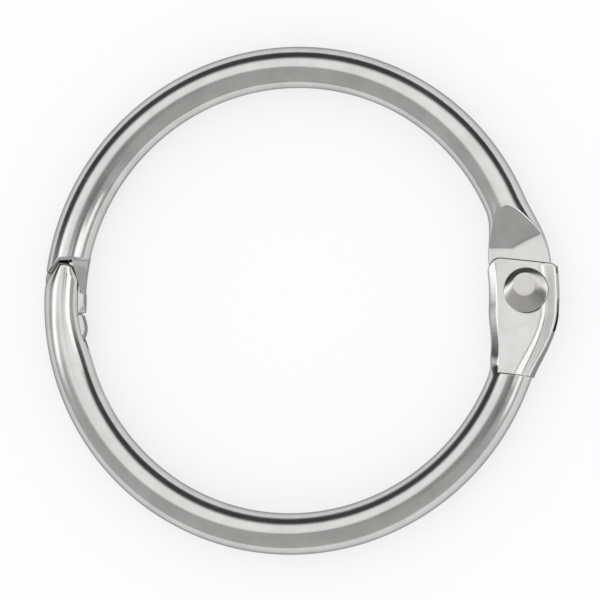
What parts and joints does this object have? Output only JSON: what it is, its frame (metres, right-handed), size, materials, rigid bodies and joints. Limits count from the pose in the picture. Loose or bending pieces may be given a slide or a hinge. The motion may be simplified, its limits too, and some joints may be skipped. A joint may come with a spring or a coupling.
{
  "type": "binder ring",
  "caption": "Hinged loose-leaf binder ring of rolled nickel-plated sheet steel, two half rings pivoted on a rivet, closed by a notched snap tongue.",
  "frame": {"origin": "centre of the closed ring, on its middle plane", "axes": "+Z along the ring's axis, out of the face with the rivet's flat-topped head; +X from the centre towards the hinge; +Y towards the half that carries the tongue"},
  "size_m": [0.0466, 0.0454, 0.0038],
  "materials": {
    "nickel_plate": "bright nickel plate over rolled steel, with a faint drawn grain",
    "rivet_nickel": "nickel plate, a little duller than the tube"
  },
  "bodies": {
    "lower": {"lower_half": "nickel_plate", "hinge_rivet": "rivet_nickel"},
    "upper": {"upper_half": "nickel_plate"}
  },
  "joints": [
    {"name": "hinge", "type": "hinge", "parent": "lower", "child": "upper", "pos_m": [0.0213, 0.00037, 0], "axis": [0, 0, -1], "range_deg": [0, 100]}
  ]
}
